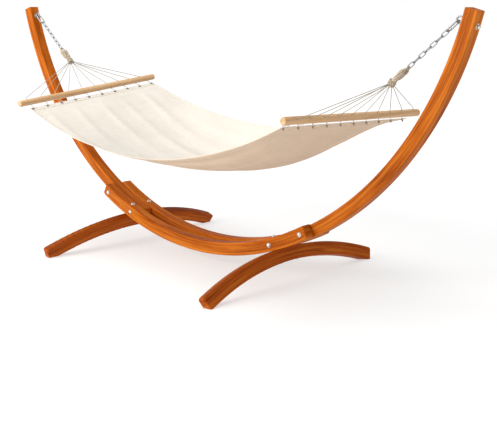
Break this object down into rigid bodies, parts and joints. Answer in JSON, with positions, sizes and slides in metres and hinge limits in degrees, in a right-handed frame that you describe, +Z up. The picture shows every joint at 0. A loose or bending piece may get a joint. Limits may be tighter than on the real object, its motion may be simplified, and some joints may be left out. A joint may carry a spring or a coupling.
{
  "type": "hammock on stand",
  "caption": "Curved laminated-wood arc stand on two arched feet, with a canvas hammock hung between its arms by chains and snap hooks.",
  "frame": {"origin": "on the ground, below the middle of the stand", "axes": "+X along the hammock towards the right arm, +Y towards the far rail, +Z up"},
  "size_m": [3.1956, 1.1646, 1.296],
  "materials": {
    "varnished_timber": "satin varnish, laminated larch",
    "foot_timber": "satin varnish, darker stain",
    "pale_dowel": "smooth pale hardwood",
    "canvas": "unbleached cotton canvas",
    "cord": "twisted cotton cord",
    "zinc_steel": "bright zinc plated",
    "bright_steel": "polished zinc plated",
    "eyelet_metal": "dark nickel"
  },
  "bodies": {
    "stand": {"far_rail": "varnished_timber", "left_arm": "varnished_timber", "left_cross_bolts": "bright_steel", "left_cross_nuts": "bright_steel", "left_cross_washers": "bright_steel", "left_eye_bolt": "bright_steel", "left_eye_nut": "bright_steel", "left_eye_washers": "bright_steel", "left_foot": "foot_timber", "left_foot_bolts": "bright_steel", "left_foot_nuts": "bright_steel", "left_foot_washers": "bright_steel", "near_rail": "varnished_timber", "right_arm": "varnished_timber", "right_cross_bolts": "bright_steel", "right_cross_nuts": "bright_steel", "right_cross_washers": "bright_steel", "right_eye_bolt": "bright_steel", "right_eye_nut": "bright_steel", "right_eye_washers": "bright_steel", "right_foot": "foot_timber", "right_foot_bolts": "bright_steel", "right_foot_nuts": "bright_steel", "right_foot_washers": "bright_steel"},
    "left_suspension": {"left_snap_hook": "zinc_steel", "left_gate_pin": "zinc_steel", "left_chain": "zinc_steel"},
    "right_suspension": {"right_snap_hook": "zinc_steel", "right_gate_pin": "zinc_steel", "right_chain": "zinc_steel"},
    "left_gate": {"left_hook_gate": "zinc_steel"},
    "right_gate": {"right_hook_gate": "zinc_steel"},
    "hammock_bed": {"canvas_bed": "canvas", "left_rope_eye": "cord", "right_rope_eye": "cord", "left_whipping": "cord", "right_whipping": "cord", "left_clew_cords": "cord", "right_clew_cords": "cord", "left_spreader_bar": "pale_dowel", "right_spreader_bar": "pale_dowel", "left_eyelets": "eyelet_metal", "right_eyelets": "eyelet_metal"}
  },
  "joints": [
    {"name": "hammock_swing", "type": "hinge", "parent": "stand", "child": "left_suspension", "pos_m": [-1.49114, 0, 1.2379], "axis": [1, 0, 0], "range_deg": [-30, 30]},
    {"name": "right_suspension_swing", "type": "hinge", "parent": "stand", "child": "right_suspension", "pos_m": [1.49114, 0, 1.2379], "axis": [1, 0, 0], "range_deg": [-30, 30]},
    {"name": "bed_roll", "type": "hinge", "parent": "left_suspension", "child": "hammock_bed", "pos_m": [-1.25951, 0, 1.04803], "axis": [1, 0, 0], "range_deg": [-30, 30]},
    {"name": "left_gate_hinge", "type": "hinge", "parent": "left_suspension", "child": "left_gate", "pos_m": [-1.45928, 0.014, 1.21178], "axis": [0.634, 0, 0.7734], "range_deg": [0, 22], "stiffness_Nm_per_rad": 0.02, "springref_deg": -20.05},
    {"name": "right_gate_hinge", "type": "hinge", "parent": "right_suspension", "child": "right_gate", "pos_m": [1.45928, 0.014, 1.21178], "axis": [0.634, 0, -0.7734], "range_deg": [0, 22], "stiffness_Nm_per_rad": 0.02, "springref_deg": -20.05}
  ],
  "couplings": [
    {"joint": "right_suspension_swing", "follows": "hammock_swing", "ratio": 1}
  ]
}
